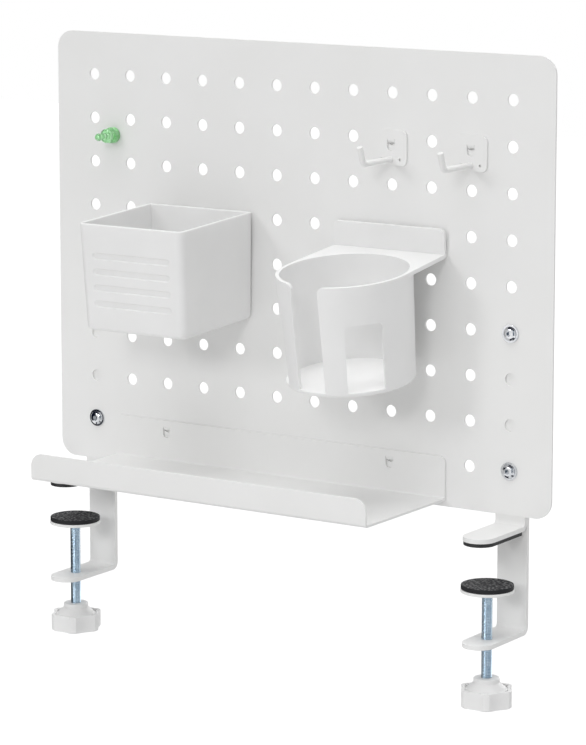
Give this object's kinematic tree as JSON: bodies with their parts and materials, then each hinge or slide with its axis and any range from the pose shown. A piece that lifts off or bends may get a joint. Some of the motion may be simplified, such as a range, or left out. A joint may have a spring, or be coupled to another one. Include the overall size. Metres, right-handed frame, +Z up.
{
  "type": "clamp-on desk pegboard organizer",
  "caption": "White perforated steel panel that clamps to a desk's rear edge, with a pen box, cup holder, tray, hooks and a magnetic push pin hung on it.",
  "frame": {"origin": "middle of the desk's rear edge: on the desk top under the upper clamp pads, in the plane of the clamp uprights that the edge meets, midway between the clamps", "axes": "+X along the panel to the user's right, +Y back, away from the user, +Z up"},
  "size_m": [0.392, 0.1154, 0.418],
  "materials": {
    "white_powder_coat": "white powder coat, low sheen",
    "white_plastic": "white moulded plastic, satin",
    "black_rubber": "smooth black rubber",
    "textured_rubber": "dark grey grained rubber",
    "zinc_plated_steel": "bright zinc plate",
    "green_plastic": "translucent green plastic",
    "magnet_metal": "nickel-plated magnet"
  },
  "bodies": {
    "frame": {"pegboard": "white_powder_coat", "left_upper_bracket": "white_powder_coat", "right_upper_bracket": "white_powder_coat", "left_lower_bracket": "white_powder_coat", "right_lower_bracket": "white_powder_coat", "left_upper_pad": "black_rubber", "right_upper_pad": "black_rubber", "mounting_bolts": "zinc_plated_steel", "bolt_washers": "zinc_plated_steel", "bolt_nuts": "zinc_plated_steel"},
    "left_jaw": {"left_jaw_plate": "white_powder_coat", "left_jaw_pad": "textured_rubber"},
    "left_screw": {"left_clamp_screw": "zinc_plated_steel", "left_knob": "white_plastic"},
    "right_jaw": {"right_jaw_plate": "white_powder_coat", "right_jaw_pad": "textured_rubber"},
    "right_screw": {"right_clamp_screw": "zinc_plated_steel", "right_knob": "white_plastic"},
    "pen_box": {"pen_box": "white_plastic"},
    "cup_holder": {"cup_holder": "white_plastic"},
    "tray": {"accessory_tray": "white_powder_coat"},
    "left_hook": {"left_hook_plate": "white_powder_coat", "left_hook_wire": "white_powder_coat"},
    "right_hook": {"right_hook_plate": "white_powder_coat", "right_hook_wire": "white_powder_coat"},
    "push_pin": {"push_pin_body": "green_plastic", "push_pin_magnet": "magnet_metal"}
  },
  "joints": [
    {"name": "left_jaw_slide", "type": "slide", "parent": "frame", "child": "left_jaw", "axis": [0, 0, 1], "range_m": [-0.0347, 0.0182]},
    {"name": "left_screw_turn", "type": "hinge", "parent": "left_jaw", "child": "left_screw", "pos_m": [-0.165, -0.0315, -0.029], "axis": [0, 0, 1], "continuous": true},
    {"name": "right_jaw_slide", "type": "slide", "parent": "frame", "child": "right_jaw", "axis": [0, 0, 1], "range_m": [-0.0307, 0.0222]},
    {"name": "right_screw_turn", "type": "hinge", "parent": "right_jaw", "child": "right_screw", "pos_m": [0.165, -0.0315, -0.033], "axis": [0, 0, 1], "continuous": true},
    {"name": "pen_box_lift", "type": "slide", "parent": "frame", "child": "pen_box", "axis": [0, 0, 1], "range_m": [0, 0.0029]},
    {"name": "cup_holder_lift", "type": "slide", "parent": "frame", "child": "cup_holder", "axis": [0, 0, 1], "range_m": [0, 0.0029]},
    {"name": "tray_lift", "type": "slide", "parent": "frame", "child": "tray", "axis": [0, 0, 1], "range_m": [0, 0.0027]},
    {"name": "left_hook_lift", "type": "slide", "parent": "frame", "child": "left_hook", "axis": [0, 0, 1], "range_m": [0, 0.0027]},
    {"name": "right_hook_lift", "type": "slide", "parent": "frame", "child": "right_hook", "axis": [0, 0, 1], "range_m": [0, 0.0027]},
    {"name": "push_pin_pull", "type": "slide", "parent": "frame", "child": "push_pin", "axis": [0, -1, 0], "range_m": [0, 0.02]}
  ],
  "couplings": [
    {"joint": "left_screw_turn", "follows": "left_jaw_slide", "rad_per_m": 6283.2},
    {"joint": "right_screw_turn", "follows": "right_jaw_slide", "rad_per_m": 6283.2}
  ]
}
